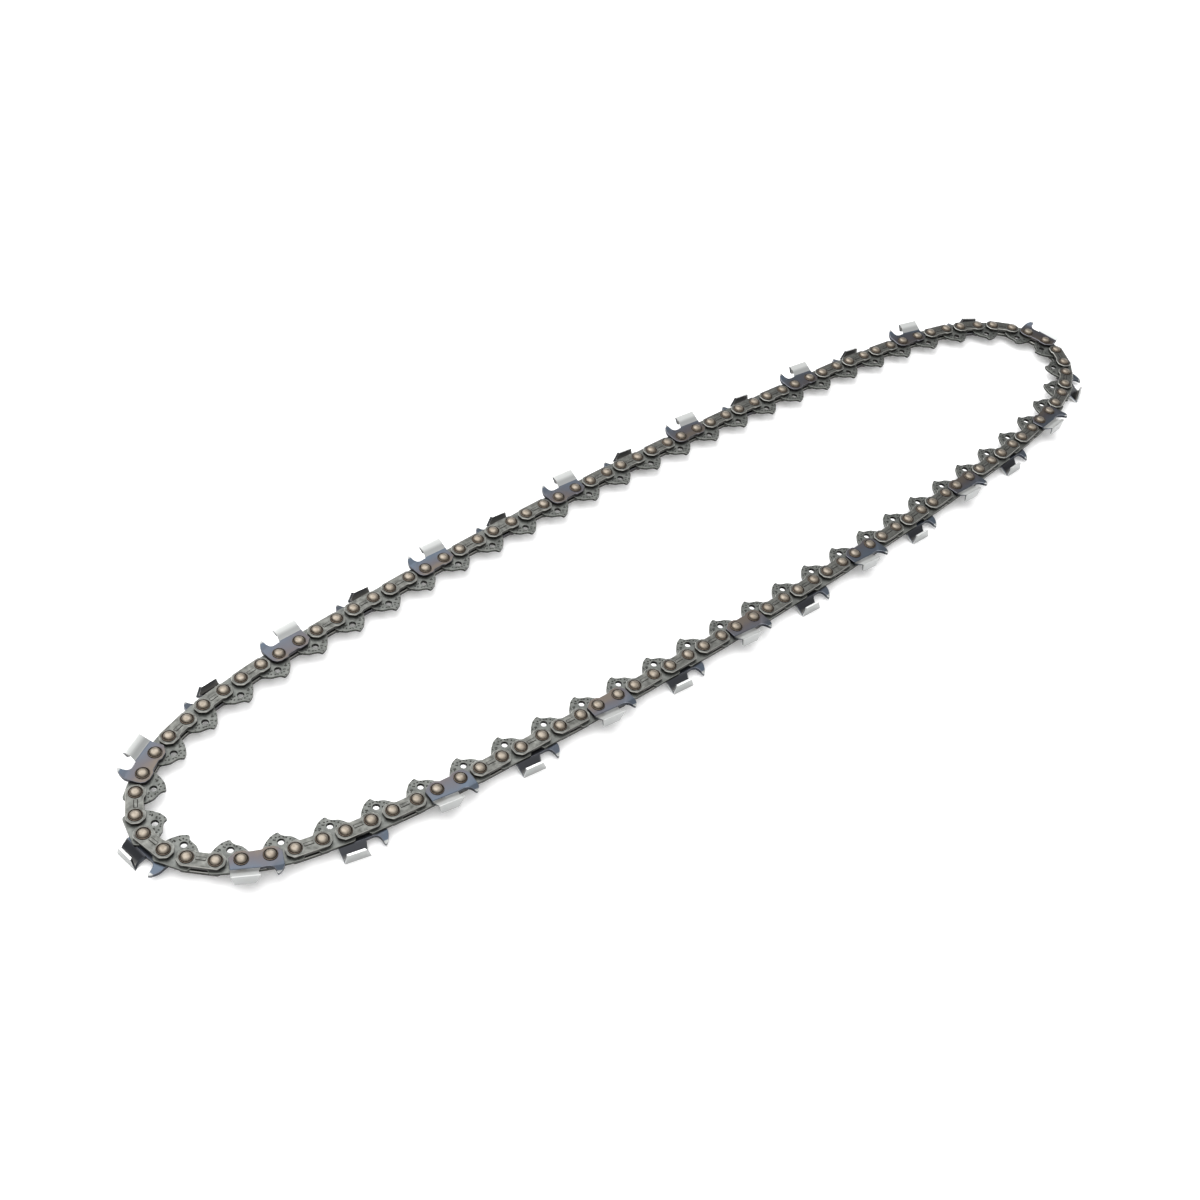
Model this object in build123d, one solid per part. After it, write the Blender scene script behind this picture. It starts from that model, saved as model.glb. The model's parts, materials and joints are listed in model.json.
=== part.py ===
from build123d import *
from math import cos, radians, sin, tan
import os

# Saw chain loop, lying flat on its side, sizes in mm.
# Each pitch is a drive link with its tang turned inwards and a pair of side plates riveted over it.
# Every fourth pitch carries a left cutter on the upper face, and every fourth a right cutter on the lower.

# Chain
pitch_count = 60
side_spacing = 10.24       # rivet to rivet on a side plate
drive_spacing = 8.81       # rivet to rivet on a drive link
gauge = 1.3                # thickness of a drive link, which runs in the guide bar's groove
plate_thickness = 1.6
side_play = 0.05           # between a drive link and the plate on each side of it

# Lie of the loop: two equal halves, each a long run that curls into the ends
run_bow = 0.08             # share of each half's turn that is spread along the run
end_sharpness = 9          # odd power that gathers the rest of the turn at the ends
lay_wobble = 1.0           # degrees of unevenness from rivet to rivet
wobble_step = 2.4          # radians of the unevenness from one rivet to the next

# Rivets
head_radius = 2.7
head_height = 1.2
shank_radius = 1.4         # of the circle inside the shank's flats
shank_clearance = 0.06     # between its corners and the eye that turns on it
head_sides = 8             # facets of a head and of a rounded plate end
shank_sides = 4            # flats of a shank and of the eye round it

# Side plates
plate_end_radius = 3.6

# Drive links
link_end_radius = 3.4
belly_drop = 7.2           # swell of the tang's rear edge
belly_reach = 0.3
toe_drop = 9.5             # end of the swell, just behind the tip
toe_reach = 3.3
tip_drop = 10.0            # point of the tang
tip_reach = 5.0
hook_drop = 8.4            # hollow in front of the tip
hook_reach = 5.6
brow_drop = 6.6            # bump on the front slope
brow_ahead = 0.3           # measured from the front rivet
front_drop = 4.3           # foot of the front slope
front_ahead = 2.5

# Cutters
end_gap = 0.8              # between a cutter's end and the next plate
base_top_rear = 3.8        # top of the flat base at the rear and at the front of the cutting part
base_top_front = 4.7
cutter_front = 5.8         # leading corner, ahead of the rear rivet
side_rise = 5.0            # height of the flared side above the base
flare = 2.5                # how far its corner stands out from the base
corner_land = 0.5          # flat band along the corner, parallel to the base
side_thickness = 1.2
top_width = 4.8            # top plate, across the chain
top_thickness = 1.0
grind_angle = 22           # slant of the front edge of the top plate, degrees
gauge_top = 9.2            # depth gauge, a horn above the rivet line
gauge_back = 1.1           # its rear face, ahead of the front rivet
gauge_crown = 0.7          # length of its top
gauge_brow = 7.4           # height where its front slope steepens
gauge_brow_ahead = 3.3
gauge_lean = 1.3           # how far its top leans out from the base

# Worked out from the sizes above
rivet_count = 2 * pitch_count
plate_inner = gauge / 2 + side_play
plate_outer = plate_inner + plate_thickness
half_width = plate_outer + flare
cutter_end = drive_spacing - plate_end_radius - end_gap


def polygon_face(points):
    return make_face(Polyline(*points, close=True))


def faceted_disc(radius, sides):
    return RegularPolygon(radius, sides, major_radius=False, rotation=180 / sides)


def upper(face, bottom, thickness):
    return Pos(0, 0, bottom) * extrude(face, thickness)


def tie_strap():
    # Two rounded ends round the rivets, with straight edges between them
    rear = faceted_disc(plate_end_radius, head_sides)
    front = Pos(side_spacing, 0) * rear
    return upper(make_hull(rear.edges() + front.edges()), plate_inner, plate_thickness)


def cutter():
    # Flat base
    foot = plate_end_radius * tan(radians(180 / head_sides))
    front = side_spacing + cutter_end
    base = polygon_face([
        (-cutter_end, -foot),
        (-foot, -plate_end_radius),
        (side_spacing + foot, -plate_end_radius),
        (front, -foot),
        (front, base_top_front),
        (cutter_front, base_top_front),
        (-cutter_end, base_top_rear),
    ])
    plate = upper(base, plate_inner, plate_thickness)
    # Depth gauge at its front end: the side view of a horn, cut from a leaning slab
    gauge_rear = side_spacing + gauge_back
    horn = polygon_face([
        (gauge_rear, base_top_front),
        (front, base_top_front),
        (side_spacing + gauge_brow_ahead, gauge_brow),
        (gauge_rear + gauge_crown, gauge_top),
        (gauge_rear, gauge_top),
    ])
    slab = Plane.YZ * polygon_face([
        (base_top_front, plate_inner),
        (gauge_top, plate_inner + gauge_lean),
        (gauge_top, plate_outer + gauge_lean),
        (base_top_front, plate_outer),
    ])
    leaning = extrude(slab, front, dir=(1, 0, 0))
    plate += upper(horn, plate_inner, plate_thickness + gauge_lean) & leaning
    # Flared side and folded top plate, one section drawn out along the base's sloping top
    low = base_top_rear
    corner = low + side_rise
    section = Plane.YZ * polygon_face([
        (low, plate_outer),
        (corner - corner_land, half_width),
        (corner, half_width),
        (corner, half_width - top_width),
        (corner - top_thickness, half_width - top_width),
        (corner - top_thickness, half_width - side_thickness),
        (low, plate_inner),
    ])
    length = cutter_front + cutter_end
    rise = base_top_front - base_top_rear
    reach = Vector(length, rise, 0)
    blade = Pos(-cutter_end, 0, 0) * extrude(section, reach.length, dir=reach)
    # Front edge, ground back from the outer corner
    slant = radians(grind_angle)
    grind = Plane(
        origin=(cutter_front, 0, half_width),
        x_dir=(0, 1, 0),
        z_dir=(cos(slant), 0, -sin(slant)),
    )
    return plate + split(blade, bisect_by=grind, keep=Keep.BOTTOM)


def rivets():
    # A shank through both plates, with a low domed head outside each of them
    shank = upper(faceted_disc(shank_radius, shank_sides), -plate_outer, 2 * plate_outer)
    rim = Pos(0, 0, plate_outer) * faceted_disc(head_radius, head_sides)
    head = loft([rim.face(), Vertex(0, 0, plate_outer + head_height)])
    rivet = shank + head + mirror(head, about=Plane.XY)
    return rivet, Pos(side_spacing, 0, 0) * rivet


def side_link(upper_plate, lower_plate):
    rear, front = rivets()
    return upper_plate + mirror(lower_plate, about=Plane.XY) + rear + front


def drive_link():
    shoulder = link_end_radius * tan(radians(180 / head_sides))
    front_end = drive_spacing + link_end_radius
    face = polygon_face([
        (-shoulder, link_end_radius),
        (-link_end_radius, shoulder),
        (-link_end_radius, -shoulder),
        (belly_reach, -belly_drop),
        (toe_reach, -toe_drop),
        (tip_reach, -tip_drop),
        (hook_reach, -hook_drop),
        (drive_spacing + brow_ahead, -brow_drop),
        (drive_spacing + front_ahead, -front_drop),
        (front_end, -shoulder),
        (front_end, shoulder),
        (drive_spacing + shoulder, link_end_radius),
    ])
    # An eye clears the corners of the shank that turns in it
    eye = faceted_disc(shank_radius / cos(radians(180 / shank_sides)) + shank_clearance, shank_sides)
    return upper(face - eye - Pos(drive_spacing, 0) * eye, -gauge / 2, gauge)


def heading(step):
    # Direction of travel from one rivet to the next, in degrees; the second half repeats the first
    half, place = divmod(step, pitch_count)
    along = 2 * (place + 0.5) / pitch_count - 1
    turn = 90 * (run_bow * along + (1 - run_bow) * along ** end_sharpness)
    return 180 * half + turn + lay_wobble * sin(wobble_step * place)


def lay_rivets():
    x, y = 0, 0
    places = []
    for step in range(rivet_count):
        places.append((x, y))
        spacing = side_spacing if step % 2 == 0 else drive_spacing
        x += spacing * cos(radians(heading(step)))
        y += spacing * sin(radians(heading(step)))
    # The half-turn centre of the loop is the origin
    middle_x = places[pitch_count][0] / 2
    middle_y = places[pitch_count][1] / 2
    return [(x - middle_x, y - middle_y) for x, y in places]


def seat(place, step):
    # A link is drawn with its tang side on -Y, and turned over so that tangs point into the loop
    x, y = place
    return Pos(x, y, half_width) * Rot(0, 0, heading(step)) * Rot(180, 0, 0)


os.makedirs("parts", exist_ok=True)

# Turning a link over puts its lower plate on the upper face
plain_pair = side_link(tie_strap(), tie_strap())
sequence = [
    ("right_cutter_link", side_link(cutter(), tie_strap())),
    ("plain_link", plain_pair),
    ("left_cutter_link", side_link(tie_strap(), cutter())),
    ("plain_link", plain_pair),
]
drive = drive_link()
places = lay_rivets()
for pitch in range(pitch_count):
    name, sides = sequence[pitch % len(sequence)]
    step = 2 * pitch
    unit = Compound(children=[
        seat(places[step], step) * sides,
        seat(places[step + 1], step + 1) * drive,
    ])
    export_step(unit, f"parts/{name}_{pitch + 1:02d}.step")
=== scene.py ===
import json
from math import cos, pi, radians, sin, tan

import bmesh
import bpy
from mathutils import Matrix, Vector


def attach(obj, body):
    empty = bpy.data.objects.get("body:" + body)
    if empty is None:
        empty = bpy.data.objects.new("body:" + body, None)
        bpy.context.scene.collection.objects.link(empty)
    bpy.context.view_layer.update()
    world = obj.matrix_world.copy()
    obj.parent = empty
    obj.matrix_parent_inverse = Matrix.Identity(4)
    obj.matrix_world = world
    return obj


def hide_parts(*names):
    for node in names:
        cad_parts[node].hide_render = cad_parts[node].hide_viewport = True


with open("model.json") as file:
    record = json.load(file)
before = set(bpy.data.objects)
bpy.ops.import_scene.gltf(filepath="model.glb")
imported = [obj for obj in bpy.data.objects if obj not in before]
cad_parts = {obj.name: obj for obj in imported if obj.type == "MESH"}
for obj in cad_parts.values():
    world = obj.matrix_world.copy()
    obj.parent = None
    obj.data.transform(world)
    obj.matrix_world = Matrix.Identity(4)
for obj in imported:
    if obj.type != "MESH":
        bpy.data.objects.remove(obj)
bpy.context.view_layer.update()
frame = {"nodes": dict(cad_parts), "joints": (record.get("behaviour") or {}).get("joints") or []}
mm = 0.001
print("stage: frame loaded,", len(frame["nodes"]), "links")

# lie of the loop; sizes are in millimetres, apart from the studio's
chainLay = {
    "pitches": 60,
    "sideSpacing": 10.24,      # rivet to rivet on a side plate
    "driveSpacing": 8.81,      # rivet to rivet on a drive link
    "runBow": 0.08,            # share of each half's turn along the run
    "endSharpness": 9,
    "wobble": 1.0,             # degrees from rivet to rivet
    "wobbleStep": 2.4,
    "midHeight": 4.8,          # middle of the chain above the floor
}


def headingOf(step):
    half, place = divmod(step, chainLay["pitches"])
    along = 2 * (place + 0.5) / chainLay["pitches"] - 1
    bow = chainLay["runBow"]
    turn = 90 * (bow * along + (1 - bow) * along ** chainLay["endSharpness"])
    return radians(180 * half + turn + chainLay["wobble"] * sin(chainLay["wobbleStep"] * place))


def rivetPlaces():
    x = y = 0.0
    walked = []
    for step in range(2 * chainLay["pitches"]):
        walked.append((x, y))
        spacing = chainLay["sideSpacing"] if step % 2 == 0 else chainLay["driveSpacing"]
        x += spacing * cos(headingOf(step))
        y += spacing * sin(headingOf(step))
    farX, farY = walked[chainLay["pitches"]]        # rivet opposite the first
    height = chainLay["midHeight"]
    return [Vector(((x - farX / 2) * mm, (y - farY / 2) * mm, height * mm)) for x, y in walked]


places = rivetPlaces()
drift = max(
    (Vector(joint["pos_m"]) - places[2 * int(joint["name"].split("_")[1])]).length
    for joint in frame["joints"]
)
print("stage: lay worked out, rivets within", round(drift * 1e6, 1), "micrometres of the frame's hinges")


# outlines are drawn as (along, out): along the travel from the rear rivet, and outwards from the rivet line
def soften(points, radius):
    out = []
    for i, p in enumerate(points):
        p, a, b = Vector(p), Vector(points[i - 1]), Vector(points[(i + 1) % len(points)])
        start = p + (a - p).normalized() * min(radius, 0.4 * (a - p).length)    # short of the edge's middle
        end = p + (b - p).normalized() * min(radius, 0.4 * (b - p).length)
        out += [start, (start + 2 * p + end) / 4, end]
    return out


def ring(centre, radius, count):
    turns = [2 * pi * i / count for i in range(count)]
    return [Vector((centre[0] + radius * cos(turn), centre[1] + radius * sin(turn))) for turn in turns]


def inset(loop, depth):     # material lies to the left of the loop
    out = []
    for i, p in enumerate(loop):
        a = (p - loop[i - 1]).normalized()
        b = (loop[(i + 1) % len(loop)] - p).normalized()
        left = Vector((-a.y - b.y, a.x + b.x)).normalized()
        out.append(p + left * depth / max(0.5, left.dot(Vector((-a.y, a.x)))))      # sharp corners are held back
    return out


def unplated(along, out):
    return 0.0


class Sheet:                # gathers plates and swept strips into one mesh with its paint attributes
    def __init__(self):
        self.bm = bmesh.new()
        self.seat = self.bm.verts.layers.float_vector.new("linkPos")
        self.plating = self.bm.verts.layers.float.new("plating")
        self.lightShade = self.bm.faces.layers.float.new("rimShine")     # above 0 painted highlight, below 0 painted shade

    def vert(self, along, out, z, plating=0.0):
        v = self.bm.verts.new((along * mm, -out * mm, z * mm))
        v[self.seat] = (along, out, z)
        v[self.plating] = plating
        return v

    def quads(self, first, second, lightShade=0.0):
        count = len(first)
        for i in range(count):
            j = (i + 1) % count
            self.bm.faces.new((first[i], first[j], second[j], second[i]))[self.lightShade] = lightShade

    def plate(self, outer, holes, bottom, top, rim,
              platingAt=unplated, edgeLightShade=(1.0, -0.7), holeRim=0.0):      # painted highlight on the chamfer, painted shade on the wall
        loops = [outer] + [hole[::-1] for hole in holes]
        caps = ([], [])
        for loop in loops:
            depth = rim if loop is outer else holeRim
            small = inset(loop, depth)
            rings = []
            for points, z in ((small, bottom), (loop, bottom + depth), (loop, top - depth), (small, top)):
                rings.append([self.vert(p.x, p.y, z, platingAt(p.x, p.y)) for p in points])
            chamferLightShade, wall = edgeLightShade if loop is outer else (-1.0, -1.0)   # holes get painted shade on their walls and chamfers
            self.quads(rings[0], rings[1], chamferLightShade)
            self.quads(rings[1], rings[2], wall)
            self.quads(rings[2], rings[3], chamferLightShade)
            for cap, edgeRing in zip(caps, (rings[0], rings[3])):
                cap += [self.bm.edges.get((edgeRing[i - 1], edgeRing[i])) for i in range(len(edgeRing))]
        for cap in caps:
            bmesh.ops.triangle_fill(self.bm, use_beauty=True, edges=cap)

    def strip(self, stations, endLightShade):        # closed section swept through stations, with quad end caps
        half = len(stations[0]) // 2
        for first, second in zip(stations, stations[1:]):
            self.quads(first, second)
            edge = (first[half - 1], first[half], second[half], second[half - 1])
            self.bm.faces.get(edge)[self.lightShade] = 1.0           # free edge, painted highlight
        for end, lightShade in zip((stations[0], stations[-1]), endLightShade):
            for i in range(half - 1):
                self.bm.faces.new((end[i], end[i + 1], end[-2 - i], end[-1 - i]))[self.lightShade] = lightShade

    def lathe(self, profile, count):            # profile of (radius, z), from pole to pole
        rings = []
        for radius, z in profile:
            if radius == 0:
                rings.append([self.vert(0, 0, z)] * count)
            else:
                rings.append([self.vert(p.x, p.y, z) for p in ring((0, 0), radius, count)])
        for first, second in zip(rings, rings[1:]):
            for i in range(count):
                j = (i + 1) % count
                corners = [first[i], first[j], second[j], second[i]]
                self.bm.faces.new([v for n, v in enumerate(corners) if v not in corners[:n]])

    def finish(self, name, creaseAngle=32):
        bmesh.ops.recalc_face_normals(self.bm, faces=self.bm.faces)
        mesh = bpy.data.meshes.new(name)
        self.bm.to_mesh(mesh)
        self.bm.free()
        mesh.polygons.foreach_set("use_smooth", [True] * len(mesh.polygons))
        mesh.set_sharp_from_angle(angle=radians(creaseAngle))
        obj = bpy.data.objects.new(name, mesh)
        bpy.context.scene.collection.objects.link(obj)
        print("stage:", name, len(mesh.polygons), "faces")
        return obj


# side plates
tieStrap = {
    "endRadius": 3.6,
    "waistFrom": 1.7,          # along, from the rear rivet
    "waistSlope": 1.0,
    "waistDepth": 0.75,
    "inner": 0.7,              # faces, from the middle of the chain
    "outer": 2.3,
    "rim": 0.2,                # bright chamfer
    "cornerRadius": 0.55,
    "ribLength": 3.7,          # pressed rib between the rivets
    "ribWidth": 1.3,
    "ribHeight": 0.12,
    "ribOut": -0.1,
    "ribRoot": 0.3,            # how deep it starts in the plate
    "ribCorner": 0.3,
    "ribRim": 0.15,
    "ribLineShade": (-0.9, -1.0),  # painted shade lines round it
}


def lowerEdge():               # inner edge of a plate, with its waist, from rear to front
    s, r = chainLay["sideSpacing"], tieStrap["endRadius"]
    flat = r * tan(pi / 8)     # half a side of the eight-sided end
    start, slope = tieStrap["waistFrom"], tieStrap["waistSlope"]
    waist = tieStrap["waistDepth"] - r
    return flat, [
        (-flat, -r), (start, -r), (start + slope, waist),
        (s - start - slope, waist), (s - start, -r), (s + flat, -r),
    ]


def makeTieStrap(name, face):
    s, r = chainLay["sideSpacing"], tieStrap["endRadius"]
    flat, low = lowerEdge()
    outline = low + [(s + r, -flat), (s + r, flat), (s + flat, r), (-flat, r), (-r, flat), (-r, -flat)]
    sheet = Sheet()
    near, far = sorted((face * tieStrap["inner"], face * tieStrap["outer"]))
    sheet.plate(soften(outline, tieStrap["cornerRadius"]), [], near, far, tieStrap["rim"])
    half, width, mid = tieStrap["ribLength"] / 2, tieStrap["ribWidth"] / 2, tieStrap["ribOut"]
    rear, front = s / 2 - half, s / 2 + half
    rib = [(rear, mid - width), (front, mid - width), (front, mid + width), (rear, mid + width)]
    root = tieStrap["outer"] - tieStrap["ribRoot"]
    top = tieStrap["outer"] + tieStrap["ribHeight"]
    near, far = sorted((face * root, face * top))
    sheet.plate(soften(rib, tieStrap["ribCorner"]), [], near, far, tieStrap["ribRim"],
                edgeLightShade=tieStrap["ribLineShade"])
    return sheet.finish(name)


# cutters
cutterTooth = {
    "rear": -4.4,              # trailing end, along from the rear rivet
    "baseRise": 0.088,         # slope of the base's top
    "baseLow": 3.8,            # its height at the trailing end
    "corner": 8.8,             # outer corner's height there
    "rim": 0.15,
    "cornerRadius": 0.3,
    "creaseAngle": 28,
    "toe": [(3.3, -2.7), (4.2, -1.2), (4.4, 0.3)],     # front end, along from the front rivet
    # outer and inner skin of the folded side and top: out from base or corner, z, front end along, plating
    "outerSkin": [
        ("base", -0.30, 2.30, 6.1, 0.0), ("base", 0.12, 2.35, 6.1, 0.3), ("base", 0.55, 2.56, 5.95, 1.0),
        ("corner", -2.40, 3.74, 5.3, 1.0), ("corner", -0.75, 4.68, 5.6, 1.0), ("corner", -0.22, 4.80, 5.8, 1.0),
        ("corner", -0.05, 4.72, 5.8, 1.0), ("corner", 0.00, 4.48, 5.75, 2.0), ("corner", 0.00, 2.30, 4.80, 2.0),
        ("corner", 0.00, 0.00, 3.87, 2.0),
    ],
    # plating below 0 carries the painted shade and painted light of the fold's inside
    "innerSkin": [
        ("base", -0.30, 0.72, 6.0, -0.2), ("base", 0.12, 0.86, 5.8, -0.2), ("base", 0.60, 1.18, 5.45, -0.2),
        ("corner", -2.90, 2.26, 4.6, -0.2), ("corner", -1.40, 3.30, 4.65, -0.5),
        ("corner", -1.12, 3.36, 4.75, -1.0), ("corner", -1.02, 3.16, 4.75, -1.0),
        ("corner", -1.00, 2.80, 4.7, -1.0), ("corner", -0.90, 0.20, 3.44, -1.0), ("corner", -0.84, 0.00, 3.35, 2.0),
    ],
    "rearPast": 0.1,           # the fold ends this far behind the base
    "rearSlant": 0.24,         # trailing edge of the top, along for each mm across
    "slantFrom": 4.5,          # z where that starts
    "topFrom": -1.6,           # skin points further out than this, from the corner, are the top's
    "endLightShade": (0.4, -0.85),  # trailing end plated with a painted highlight, front end ground and bare with painted shade
    "stations": 5,
    # depth gauge, from its front foot over the top to the gullet
    "gauge": [(14.62, 5.1), (14.25, 6.3), (13.6, 7.5), (12.75, 8.6), (12.05, 9.15), (11.6, 9.1), (11.4, 8.5),
              (11.3, 7.2), (11.0, 6.1), (10.4, 5.2), (9.4, 4.7), (8.2, 4.6), (6.9, 4.68)],
    "gaugeRoot": 4.7,
    "gaugeLean": 0.29,         # how far it stands out for each mm of height
    "gaugePlated": (7.2, 1.6),  # plating starts at this height, and is full this much higher
}


def gaugePlating(along, out):
    start, fade = cutterTooth["gaugePlated"]
    return min(1.0, max(0.0, (out - start) / fade))


def skinStart(origin, out, z):         # trailing end of one line of the skin
    start = cutterTooth["rear"] - cutterTooth["rearPast"]
    if origin == "corner" and out > cutterTooth["topFrom"]:
        start += cutterTooth["rearSlant"] * max(0.0, cutterTooth["slantFrom"] - z)
    return start


def makeCutter(name, face):
    s = chainLay["sideSpacing"]
    rear, rise, low = cutterTooth["rear"], cutterTooth["baseRise"], cutterTooth["baseLow"]
    flat, lower = lowerEdge()
    toe = [(s + along, out) for along, out in cutterTooth["toe"]]
    outline = [(rear, -flat)] + lower + toe + cutterTooth["gauge"] + [(rear, low)]
    sheet = Sheet()
    near, far = sorted((face * tieStrap["inner"], face * tieStrap["outer"]))
    sheet.plate(soften(outline, cutterTooth["cornerRadius"]), [], near, far, cutterTooth["rim"], gaugePlating)
    for v in sheet.bm.verts:
        v.co.z += face * mm * cutterTooth["gaugeLean"] * max(0.0, v[sheet.seat].y - cutterTooth["gaugeRoot"])
    stations = []
    for n in range(cutterTooth["stations"]):
        t = n / (cutterTooth["stations"] - 1)
        section = []
        for skin in (cutterTooth["outerSkin"], cutterTooth["innerSkin"][::-1]):
            for origin, out, z, frontEnd, plating in skin:
                start = skinStart(origin, out, z)
                along = start + t * (frontEnd - start)
                height = (low if origin == "base" else cutterTooth["corner"]) + out + rise * (along - rear)
                section.append(sheet.vert(along, height, face * z, plating))
        stations.append(section)
    sheet.strip(stations, cutterTooth["endLightShade"])
    return sheet.finish(name, cutterTooth["creaseAngle"])


# drive link
driveLink = {
    "endRadius": 3.4,
    "thickness": 1.3,
    "rim": 0.14,
    "tang": [(-3.35, -2.3), (-0.65, -6.3), (1.7, -8.65), (3.5, -9.55), (4.85, -9.85), (5.15, -9.4), (5.6, -8.4),
             (6.7, -7.7), (9.2, -6.75), (11.45, -4.4)],
    "back": 4.4,               # outer edge, just beyond the plates
    "shoulder": 2.0,
    "oilHole": (4.95, -5.3),
    "oilHoleRadius": 1.25,
    "oilHoleSides": 14,
    "eyeRadius": 2.46,
    "eyeSides": 12,
    "holeRim": 0.2,
    "cornerRadius": 0.6,
}


def makeDriveLink(name):
    s, r = chainLay["driveSpacing"], driveLink["endRadius"]
    flat = r * tan(pi / 8)
    back, shoulder = driveLink["back"], driveLink["shoulder"]
    outline = driveLink["tang"] + [
        (s + r, -flat), (s + r, flat), (s + shoulder, back), (-shoulder, back), (-r, flat),
    ]
    holes = [ring((eye, 0), driveLink["eyeRadius"], driveLink["eyeSides"]) for eye in (0, s)]
    holes.append(ring(driveLink["oilHole"], driveLink["oilHoleRadius"], driveLink["oilHoleSides"]))
    sheet = Sheet()
    half = driveLink["thickness"] / 2
    sheet.plate(soften(outline, driveLink["cornerRadius"]), holes, -half, half, driveLink["rim"],
                holeRim=driveLink["holeRim"])
    return sheet.finish(name)


# rivet
rivet = {
    "sides": 14,
    "head": [(0, 3.46), (1.05, 3.38), (1.78, 3.14), (2.14, 2.76), (2.19, 2.46), (2.35, 2.44), (2.42, 2.68),
             (2.62, 2.64), (2.77, 2.48), (2.77, 2.26)],        # radius and z, from the crown out to the ring
    "shankRadius": 2.3,
    "shankEnd": 2.1,
    "creaseAngle": 40,
}


def makeRivet(name):
    upper = rivet["head"] + [(rivet["shankRadius"], rivet["shankEnd"])]
    sheet = Sheet()
    sheet.lathe(upper + [(radius, -z) for radius, z in upper[::-1]], rivet["sides"])
    return sheet.finish(name, rivet["creaseAngle"])


# finishes
class Finish:               # small helper round one material's node tree
    def __init__(self, name):
        self.material = bpy.data.materials.new(name)
        self.material.use_nodes = True
        self.tree = self.material.node_tree
        self.shader = self.tree.nodes["Principled BSDF"]

    def node(self, kind, **values):
        made = self.tree.nodes.new(kind)
        for key, value in values.items():
            setattr(made, key, value)
        return made

    def link(self, source, target):
        self.tree.links.new(source, target)

    def fill(self, socket, value):      # a node's output is linked, a plain value is set
        if hasattr(value, "is_linked"):
            self.link(value, socket)
        else:
            socket.default_value = value

    def attribute(self, name, output="Fac"):
        return self.node("ShaderNodeAttribute", attribute_name=name).outputs[output]

    def linkPlace(self):                # where a point sits on its link, whole and by axis
        seat = self.attribute("linkPos", "Vector")
        apart = self.node("ShaderNodeSeparateXYZ")
        self.link(seat, apart.inputs[0])
        return seat, apart.outputs

    def ramp(self, source, stops):
        made = self.node("ShaderNodeValToRGB")
        ramp = made.color_ramp
        while len(ramp.elements) < len(stops):
            ramp.elements.new(0.5)
        for element, (place, colour) in zip(ramp.elements, stops):
            element.position = place
            element.color = (*colour, 1)
        self.link(source, made.inputs["Fac"])
        return made.outputs["Color"]

    def fade(self, source, start, end, first=0, last=1):
        return self.ramp(source, [(start, (first,) * 3), (end, (last,) * 3)])

    def noise(self, scale, detail=3.0, vector=None):
        made = self.node("ShaderNodeTexNoise")
        made.inputs["Scale"].default_value = scale
        made.inputs["Detail"].default_value = detail
        made.inputs["Roughness"].default_value = 0.55
        if vector is None:
            vector = self.node("ShaderNodeTexCoord").outputs["Object"]
        self.link(vector, made.inputs["Vector"])
        return made.outputs["Fac"]

    def mix(self, factor, first, second, blend="MIX"):
        made = self.node("ShaderNodeMix", data_type="RGBA", blend_type=blend)
        self.fill(made.inputs[0], factor)
        for value, socket in ((first, 6), (second, 7)):         # the colour sockets
            self.fill(made.inputs[socket], value if hasattr(value, "is_linked") else (*value, 1))
        return made.outputs[2]

    def maths(self, operation, first, second=0.0, clamp=False):
        made = self.node("ShaderNodeMath", operation=operation, use_clamp=clamp)
        self.fill(made.inputs[0], first)
        self.fill(made.inputs[1], second)
        return made.outputs[0]

    def edgeHighlightShade(self, body, rim, strength, paintedShade):      # painted highlight on the chamfers, painted shade on the cut walls
        lightShade = self.attribute("rimShine")
        lit = self.mix(self.maths("MULTIPLY", lightShade, strength, True), body, rim)
        return self.mix(self.maths("MULTIPLY", lightShade, -1.0, True), lit, paintedShade)

    def grain(self, scale, strength, depth):          # fine bump all over
        made = self.node("ShaderNodeBump")
        made.inputs["Strength"].default_value = strength
        made.inputs["Distance"].default_value = depth
        self.link(self.noise(scale, 2.0), made.inputs["Height"])
        self.link(made.outputs["Normal"], self.shader.inputs["Normal"])


strapFinish = {
    "dark": (0.06, 0.061, 0.056),
    "light": (0.155, 0.157, 0.146),
    # the next colour is a painted highlight on the chamfers; the one after the strength is painted shade on the walls
    # and beside the rib
    "rim": (0.45, 0.45, 0.42),
    "edgeHighlightStrength": 0.85,
    "paintedShade": (0.02, 0.019, 0.017),
    "groove": (0.5, 0.82),     # painted shade line beside the rib, from its middle
    "cloudScale": 420,
    "roughness": (0.46, 0.3),  # dark and light clouds
    "metallic": 0.9,
    "grain": (2600, 0.12, 0.00005),     # scale, strength, depth in metres
}


def makeStrapSteel():
    finish = Finish("satinGreySteel")
    seat, at = finish.linkPlace()
    cloud = finish.noise(strapFinish["cloudScale"], 4.0)
    body = finish.ramp(cloud, [(0.3, strapFinish["dark"]), (0.72, strapFinish["light"])])
    offRib = finish.maths("ABSOLUTE", finish.maths("SUBTRACT", at["Y"], tieStrap["ribOut"]))
    offMiddle = finish.maths("ABSOLUTE", finish.maths("SUBTRACT", at["X"], chainLay["sideSpacing"] / 2))
    start, end = strapFinish["groove"]
    # painted shade: dark lines along both sides of the rib, stopping at its ends
    groove = finish.maths("GREATER_THAN", offRib, start)
    groove = finish.maths("MULTIPLY", groove, finish.maths("LESS_THAN", offRib, end))
    groove = finish.maths("MULTIPLY", groove, finish.maths("LESS_THAN", offMiddle, tieStrap["ribLength"] / 2))
    body = finish.mix(groove, body, strapFinish["paintedShade"])
    colour = finish.edgeHighlightShade(body, strapFinish["rim"], strapFinish["edgeHighlightStrength"], strapFinish["paintedShade"])
    finish.link(colour, finish.shader.inputs["Base Color"])
    dull, smooth = strapFinish["roughness"]
    finish.link(finish.fade(cloud, 0.3, 0.7, dull, smooth), finish.shader.inputs["Roughness"])
    finish.shader.inputs["Metallic"].default_value = strapFinish["metallic"]
    finish.grain(*strapFinish["grain"])
    return finish.material


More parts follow.
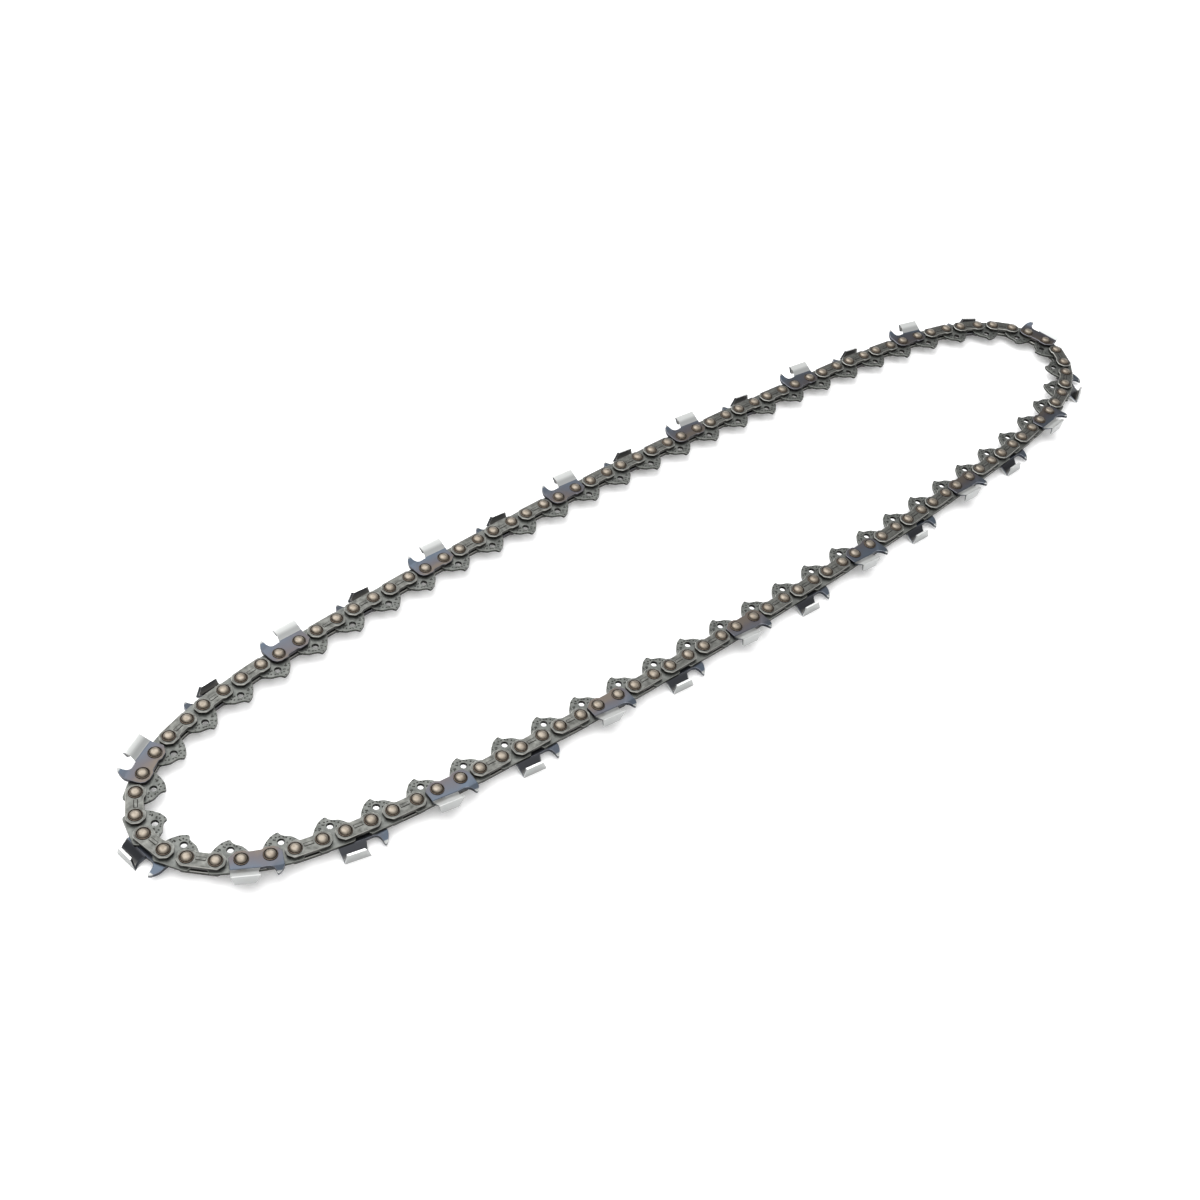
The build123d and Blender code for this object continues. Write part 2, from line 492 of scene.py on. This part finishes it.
driveFinish = {
    "dark": (0.076, 0.08, 0.075),
    "light": (0.165, 0.171, 0.161),
    "pit": (0.017, 0.017, 0.015),
    # the next colour is a painted highlight on the chamfers; the one after the strength is painted shade on the walls
    # and in the holes
    "rim": (0.3, 0.31, 0.285),
    "edgeHighlightStrength": 0.7,
    "paintedShade": (0.012, 0.012, 0.011),
    "cloudScale": 380,
    "pitScale": 0.7,           # pits for each mm
    "pitEdge": (0.38, 0.5),    # their radius, in cells, with the noise that makes them ragged
    "pitRagged": 0.4,
    "raggedScale": 1.3,
    "pitsBelow": -3.9,         # out, on the tang alone
    "smoothRound": 2.0,        # of the oil hole's middle
    "metallic": 0.85,
    "roughness": 0.45,
    "grain": (2200, 0.15, 0.00006),
}


def makeDriveSteel():
    finish = Finish("speckledTangSteel")
    seat, at = finish.linkPlace()
    cloud = finish.noise(driveFinish["cloudScale"], 4.0)
    body = finish.ramp(cloud, [(0.3, driveFinish["dark"]), (0.72, driveFinish["light"])])
    cells = finish.node("ShaderNodeTexVoronoi", feature="F1", voronoi_dimensions="2D")     # pits on the tang
    cells.inputs["Scale"].default_value = driveFinish["pitScale"]
    finish.link(seat, cells.inputs["Vector"])
    ragged = finish.noise(driveFinish["raggedScale"], 2.0, seat)
    ragged = finish.maths("MULTIPLY", ragged, driveFinish["pitRagged"])
    reach = finish.maths("ADD", cells.outputs["Distance"], ragged)
    pits = finish.fade(reach, *driveFinish["pitEdge"], 1, 0)
    onTang = finish.maths("LESS_THAN", at["Y"], driveFinish["pitsBelow"])
    fromHole = finish.node("ShaderNodeVectorMath", operation="DISTANCE")
    finish.link(seat, fromHole.inputs[0])
    fromHole.inputs[1].default_value = (*driveLink["oilHole"], driveLink["thickness"] / 2)
    clear = finish.maths("GREATER_THAN", fromHole.outputs["Value"], driveFinish["smoothRound"])
    pits = finish.maths("MULTIPLY", pits, finish.maths("MULTIPLY", onTang, clear))
    pitted = finish.mix(pits, body, driveFinish["pit"])
    colour = finish.edgeHighlightShade(pitted, driveFinish["rim"], driveFinish["edgeHighlightStrength"], driveFinish["paintedShade"])
    finish.link(colour, finish.shader.inputs["Base Color"])
    finish.shader.inputs["Metallic"].default_value = driveFinish["metallic"]
    finish.shader.inputs["Roughness"].default_value = driveFinish["roughness"]
    finish.grain(*driveFinish["grain"])
    return finish.material


rivetFinish = {
    "crown": (0.268, 0.237, 0.197),
    "shoulder": (0.15, 0.128, 0.102),
    # painted shade in the groove between the crown and the ring
    "gap": (0.004, 0.003, 0.003),
    "ring": (0.12, 0.094, 0.074),
    # painted shade: a dark outline round the ring
    "ringOutlineShade": (0.008, 0.007, 0.006),
    "widest": 3.0,
    "bands": [(0.0, "crown"), (0.45, "crown"), (0.7, "shoulder"), (0.72, "gap"), (0.795, "gap"), (0.81, "ring"),
              (0.865, "ring"), (0.89, "ringOutlineShade")],     # from the middle, as shares of the widest radius
    "cloudScale": 700,
    "cloudTint": (0.7, 0.67, 0.64),
    "metallic": 0.85,
    "roughness": 0.36,
    "grain": (1800, 0.12, 0.00005),
}


def makeRivetSteel():
    finish = Finish("peenedRivetSteel")
    seat, at = finish.linkPlace()
    squares = [finish.maths("POWER", at[axis], 2.0) for axis in ("X", "Y")]
    radius = finish.maths("SQRT", finish.maths("ADD", *squares))
    radius = finish.maths("DIVIDE", radius, rivetFinish["widest"])
    across = finish.ramp(radius, [(place, rivetFinish[band]) for place, band in rivetFinish["bands"]])
    cloud = finish.noise(rivetFinish["cloudScale"])
    cloud = finish.ramp(cloud, [(0.35, rivetFinish["cloudTint"]), (0.65, (1, 1, 1))])
    finish.link(finish.mix(1.0, across, cloud, "MULTIPLY"), finish.shader.inputs["Base Color"])
    finish.shader.inputs["Metallic"].default_value = rivetFinish["metallic"]
    finish.shader.inputs["Roughness"].default_value = rivetFinish["roughness"]
    finish.grain(*rivetFinish["grain"])
    return finish.material


cutterFinish = {
    "straw": (0.105, 0.09, 0.078),
    "plum": (0.085, 0.078, 0.083),
    "blue": (0.074, 0.091, 0.116),
    "heatRise": 0.045,         # bluer for each mm outwards
    "heatPatch": 26,           # scale of the change from cutter to cutter
    "heatCloud": (180, 0.3),   # scale and share of the small clouds
    "chromeFootShade": (0.32, 0.327, 0.324),  # painted shade at the foot of the flared side
    "chrome": (0.52, 0.53, 0.522),
    # painted shade: the top darker than the side
    "chromeTopShade": (0.37, 0.378, 0.374),
    # painted highlight along the free edge and the trailing end
    "chromeEdgeHighlight": (0.72, 0.73, 0.72),
    "flare": (2.5, 1.7),       # z of the side's foot, and its height
    "innerWallShade": (0.05, 0.052, 0.058),   # painted shade inside the flared side
    "inside": (0.3, 0.295, 0.28),        # painted light: underside of the top, lighter than the other steel to lift its shade
    # painted highlight on the chamfers
    "rim": (0.27, 0.28, 0.32),
    "edgeHighlightStrength": 0.7,
    # painted shade on the walls and the ground front end
    "paintedShade": (0.03, 0.031, 0.035),
    "metallic": 1.0,
    "roughness": 0.36,
    "grain": (2400, 0.06, 0.00004),
}


def makeCutterSteel():
    finish = Finish("bluedCutterSteel")
    seat, at = finish.linkPlace()
    rise = finish.maths("MULTIPLY", at["Y"], cutterFinish["heatRise"])
    heat = finish.maths("ADD", rise, finish.noise(cutterFinish["heatPatch"], 2.0))
    cloudScale, cloudShare = cutterFinish["heatCloud"]
    heat = finish.maths("ADD", heat, finish.maths("MULTIPLY", finish.noise(cloudScale), cloudShare))
    tints = [(0.5, cutterFinish["straw"]), (0.62, cutterFinish["plum"]), (0.94, cutterFinish["blue"])]
    body = finish.ramp(heat, tints)
    # painted highlight on the chamfers and painted shade on the walls
    rimmed = finish.edgeHighlightShade(body, cutterFinish["rim"], cutterFinish["edgeHighlightStrength"], cutterFinish["paintedShade"])
    lightShade, plating = finish.attribute("rimShine"), finish.attribute("plating")     # plating: 1 side, 2 top
    half = finish.maths("MULTIPLY", plating, 0.5)
    ground = finish.maths("ADD", lightShade, 1.0, True)              # cut ends stay bare
    plated = finish.maths("MULTIPLY", finish.fade(half, 0.18, 0.3), ground)
    foot, height = cutterFinish["flare"]
    up = finish.maths("SUBTRACT", finish.maths("ABSOLUTE", at["Z"]), foot)
    # painted shade at the foot of the flared side, lighter higher up
    low = cutterFinish["chromeFootShade"]
    flared = finish.ramp(finish.maths("DIVIDE", up, height), [(0.0, low), (0.45, low), (0.85, cutterFinish["chrome"])])
    # painted shade: the top darker than the side
    chrome = finish.mix(finish.fade(half, 0.6, 0.85), flared, cutterFinish["chromeTopShade"])
    # painted highlight on the free edge and the trailing end
    chrome = finish.mix(finish.maths("MULTIPLY", lightShade, 1.0, True), chrome, cutterFinish["chromeEdgeHighlight"])
    under = finish.maths("MULTIPLY", plating, -1.0, True)       # below 0 is the inside of the fold
    # painted shade inside the flared side
    innerWallShaded = finish.mix(finish.fade(under, 0.05, 0.18), rimmed, cutterFinish["innerWallShade"])
    # painted light: the underside of the top lifted lighter
    bared = finish.mix(finish.fade(under, 0.25, 0.9), innerWallShaded, cutterFinish["inside"])
    finish.link(finish.mix(plated, bared, chrome), finish.shader.inputs["Base Color"])
    finish.shader.inputs["Metallic"].default_value = cutterFinish["metallic"]
    finish.shader.inputs["Roughness"].default_value = cutterFinish["roughness"]
    finish.grain(*cutterFinish["grain"])
    return finish.material


finishes = {
    "strap": makeStrapSteel(),
    "drive": makeDriveSteel(),
    "rivet": makeRivetSteel(),
    "cutter": makeCutterSteel(),
}
print("stage: finishes made")

shapes = {
    "upperStrap": makeTieStrap("upperTieStrap", 1),
    "lowerStrap": makeTieStrap("lowerTieStrap", -1),
    "upperCutter": makeCutter("upperCutterTooth", 1),
    "lowerCutter": makeCutter("lowerCutterTooth", -1),
    "drive": makeDriveLink("driveLinkPlate"),
    "rivet": makeRivet("headedRivet"),
}
linkInputs = {
    "NodeSocketObject": ("Upper plate", "Lower plate", "Drive link", "Rivet"),
    "NodeSocketVector": ("Side place", "Drive place"),
    "NodeSocketFloat": ("Side turn", "Drive turn", "Rivet spacing"),
    "NodeSocketMaterial": ("Upper finish", "Lower finish", "Drive finish", "Rivet finish"),
}


def makeLinkTree():         # one tree lays out any link
    tree = bpy.data.node_groups.new("chainLinkLayout", "GeometryNodeTree")
    sockets = {}
    for kind, names in linkInputs.items():
        for name in names:
            sockets[name] = tree.interface.new_socket(name, in_out="INPUT", socket_type=kind).identifier
    tree.interface.new_socket("Geometry", in_out="OUTPUT", socket_type="NodeSocketGeometry")
    given = tree.nodes.new("NodeGroupInput").outputs
    join = tree.nodes.new("GeometryNodeJoinGeometry")
    result = tree.nodes.new("NodeGroupOutput")

    def shapeFrom(name):
        info = tree.nodes.new("GeometryNodeObjectInfo")
        tree.links.new(given[name], info.inputs["Object"])
        return info.outputs["Geometry"]

    def lay(geometry, place, turn, finish):
        spin = tree.nodes.new("ShaderNodeCombineXYZ")
        tree.links.new(given[turn], spin.inputs["Z"])
        euler = tree.nodes.new("FunctionNodeEulerToRotation")
        tree.links.new(spin.outputs[0], euler.inputs[0])
        move = tree.nodes.new("GeometryNodeTransform")
        tree.links.new(geometry, move.inputs["Geometry"])
        tree.links.new(given[place], move.inputs["Translation"])
        tree.links.new(euler.outputs[0], move.inputs["Rotation"])
        real = tree.nodes.new("GeometryNodeRealizeInstances")
        tree.links.new(move.outputs[0], real.inputs["Geometry"])
        paint = tree.nodes.new("GeometryNodeSetMaterial")
        tree.links.new(real.outputs[0], paint.inputs["Geometry"])
        tree.links.new(given[finish], paint.inputs["Material"])
        tree.links.new(paint.outputs[0], join.inputs[0])

    lay(shapeFrom("Upper plate"), "Side place", "Side turn", "Upper finish")
    lay(shapeFrom("Lower plate"), "Side place", "Side turn", "Lower finish")
    lay(shapeFrom("Drive link"), "Drive place", "Drive turn", "Drive finish")
    reach = tree.nodes.new("ShaderNodeCombineXYZ")
    tree.links.new(given["Rivet spacing"], reach.inputs["X"])
    pair = tree.nodes.new("GeometryNodeMeshLine")
    pair.inputs["Count"].default_value = 2
    tree.links.new(reach.outputs[0], pair.inputs["Offset"])
    rivets = tree.nodes.new("GeometryNodeInstanceOnPoints")
    tree.links.new(pair.outputs[0], rivets.inputs["Points"])
    tree.links.new(shapeFrom("Rivet"), rivets.inputs["Instance"])
    lay(rivets.outputs[0], "Side place", "Side turn", "Rivet finish")
    tree.links.new(join.outputs[0], result.inputs[0])
    return tree, sockets


linkTree, linkSockets = makeLinkTree()
links = []
for pitch in range(chainLay["pitches"]):
    node = next(n for n in frame["nodes"] if n.endswith(f"_{pitch + 1:02d}"))
    link = bpy.data.objects.new(f"chainLink{pitch + 1:02d}", bpy.data.meshes.new("bareLink"))
    bpy.context.scene.collection.objects.link(link)
    layout = link.modifiers.new("linkLayout", "NODES")
    layout.node_group = linkTree
    upperIsCutter, lowerIsCutter = node.startswith("left"), node.startswith("right")
    for name, value in (
        ("Upper plate", shapes["upperCutter" if upperIsCutter else "upperStrap"]),
        ("Lower plate", shapes["lowerCutter" if lowerIsCutter else "lowerStrap"]),
        ("Drive link", shapes["drive"]), ("Rivet", shapes["rivet"]),
        ("Side place", places[2 * pitch]), ("Side turn", headingOf(2 * pitch)),
        ("Drive place", places[2 * pitch + 1]), ("Drive turn", headingOf(2 * pitch + 1)),
        ("Rivet spacing", chainLay["sideSpacing"] * mm),
        ("Upper finish", finishes["cutter" if upperIsCutter else "strap"]),
        ("Lower finish", finishes["cutter" if lowerIsCutter else "strap"]),
        ("Drive finish", finishes["drive"]), ("Rivet finish", finishes["rivet"]),
    ):
        layout[linkSockets[name]] = value
    links.append((link, node, f"link_{pitch + 1:02d}"))

depsgraph = bpy.context.evaluated_depsgraph_get()
plain = [
    bpy.data.meshes.new_from_object(
        link.evaluated_get(depsgraph), preserve_all_data_layers=True, depsgraph=depsgraph)
    for link, node, body in links
]
for (link, node, body), mesh in zip(links, plain):
    link.modifiers.clear()
    link.data = mesh
    mesh.name = link.name
for shape in shapes.values():
    bpy.data.objects.remove(shape)
for link, node, body in links:
    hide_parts(node)
    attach(link, body)
print("stage: links laid,", sum(len(mesh.polygons) for mesh in plain), "faces in all")

# floor, light and camera, in metres
studio = {
    "floorSize": 40.0,
    "floorColour": (0.94, 0.94, 0.94),
    "floorRoughness": 0.9,
    "floorSpecular": 0.1,
    "floorGlow": 0.14,         # keeps the shadow pale
    # strength of the sky by height: white backdrop, gap, overhead panel
    "sky": [(0.0, 1.25), (0.26, 1.15), (0.4, 0.06), (0.48, 0.06), (0.75, 1.36)],
    "keyEnergy": 25.5,
    "keySize": 2.2,
    "keyPlace": (-0.05, 0.85, 1.4),
    "fillEnergy": 8.3,
    "fillSize": 2.4,
    "fillPlace": (-0.9, -0.9, 1.4),
}
cameraView = {
    "lens": 47.23,
    "sensor": 36.0,
    "nearest": 0.01,
    "place": (-0.403027, -0.319906, 0.478875),
    "right": (0.745418, -0.65711, 0.112059),
    "up": (0.414312, 0.588401, 0.694356),
    "back": (-0.522204, -0.471158, 0.710853),
}

bpy.ops.mesh.primitive_plane_add(size=studio["floorSize"], location=(0, 0, 0))
floor = bpy.context.object
floor.name = "paleFloor"
paper = Finish("palePaper")
paper.shader.inputs["Base Color"].default_value = (*studio["floorColour"], 1)
paper.shader.inputs["Roughness"].default_value = studio["floorRoughness"]
paper.shader.inputs["Emission Color"].default_value = (1, 1, 1, 1)
paper.shader.inputs["Emission Strength"].default_value = studio["floorGlow"]
paper.shader.inputs["Specular IOR Level"].default_value = studio["floorSpecular"]
floor.data.materials.append(paper.material)

world = bpy.context.scene.world or bpy.data.worlds.new("softStudio")
bpy.context.scene.world = world
world.use_nodes = True
sky = world.node_tree
direction = sky.nodes.new("ShaderNodeTexCoord").outputs["Generated"]
height = sky.nodes.new("ShaderNodeSeparateXYZ")
sky.links.new(direction, height.inputs[0])
fade = sky.nodes.new("ShaderNodeValToRGB")
bands = fade.color_ramp.elements
while len(bands) < len(studio["sky"]):
    bands.new(0.5)
for band, (place, strength) in zip(bands, studio["sky"]):
    band.position = place
    band.color = (strength, strength, strength, 1)
sky.links.new(height.outputs["Z"], fade.inputs["Fac"])
sky.nodes["Background"].inputs["Color"].default_value = (1, 1, 1, 1)
sky.links.new(fade.outputs["Color"], sky.nodes["Background"].inputs["Strength"])


def softbox(name, place, size, energy):
    light = bpy.data.lights.new(name, "AREA")
    light.shape = "DISK"
    light.size = size
    light.energy = energy
    obj = bpy.data.objects.new(name, light)
    obj.location = place
    obj.rotation_euler = (-Vector(place)).to_track_quat("-Z", "Y").to_euler()      # aimed at the loop's middle
    bpy.context.scene.collection.objects.link(obj)


softbox("keySoftbox", studio["keyPlace"], studio["keySize"], studio["keyEnergy"])
softbox("fillSoftbox", studio["fillPlace"], studio["fillSize"], studio["fillEnergy"])

camera = bpy.data.objects.new("photoCamera", bpy.data.cameras.new("photoCamera"))
camera.data.lens = cameraView["lens"]
camera.data.sensor_width = cameraView["sensor"]
camera.data.clip_start = cameraView["nearest"]
turned = Matrix((cameraView["right"], cameraView["up"], cameraView["back"])).transposed().to_4x4()
camera.matrix_world = Matrix.Translation(cameraView["place"]) @ turned
bpy.context.scene.collection.objects.link(camera)
bpy.context.scene.camera = camera
bpy.context.scene.view_settings.view_transform = "Standard"
print("stage: studio set")
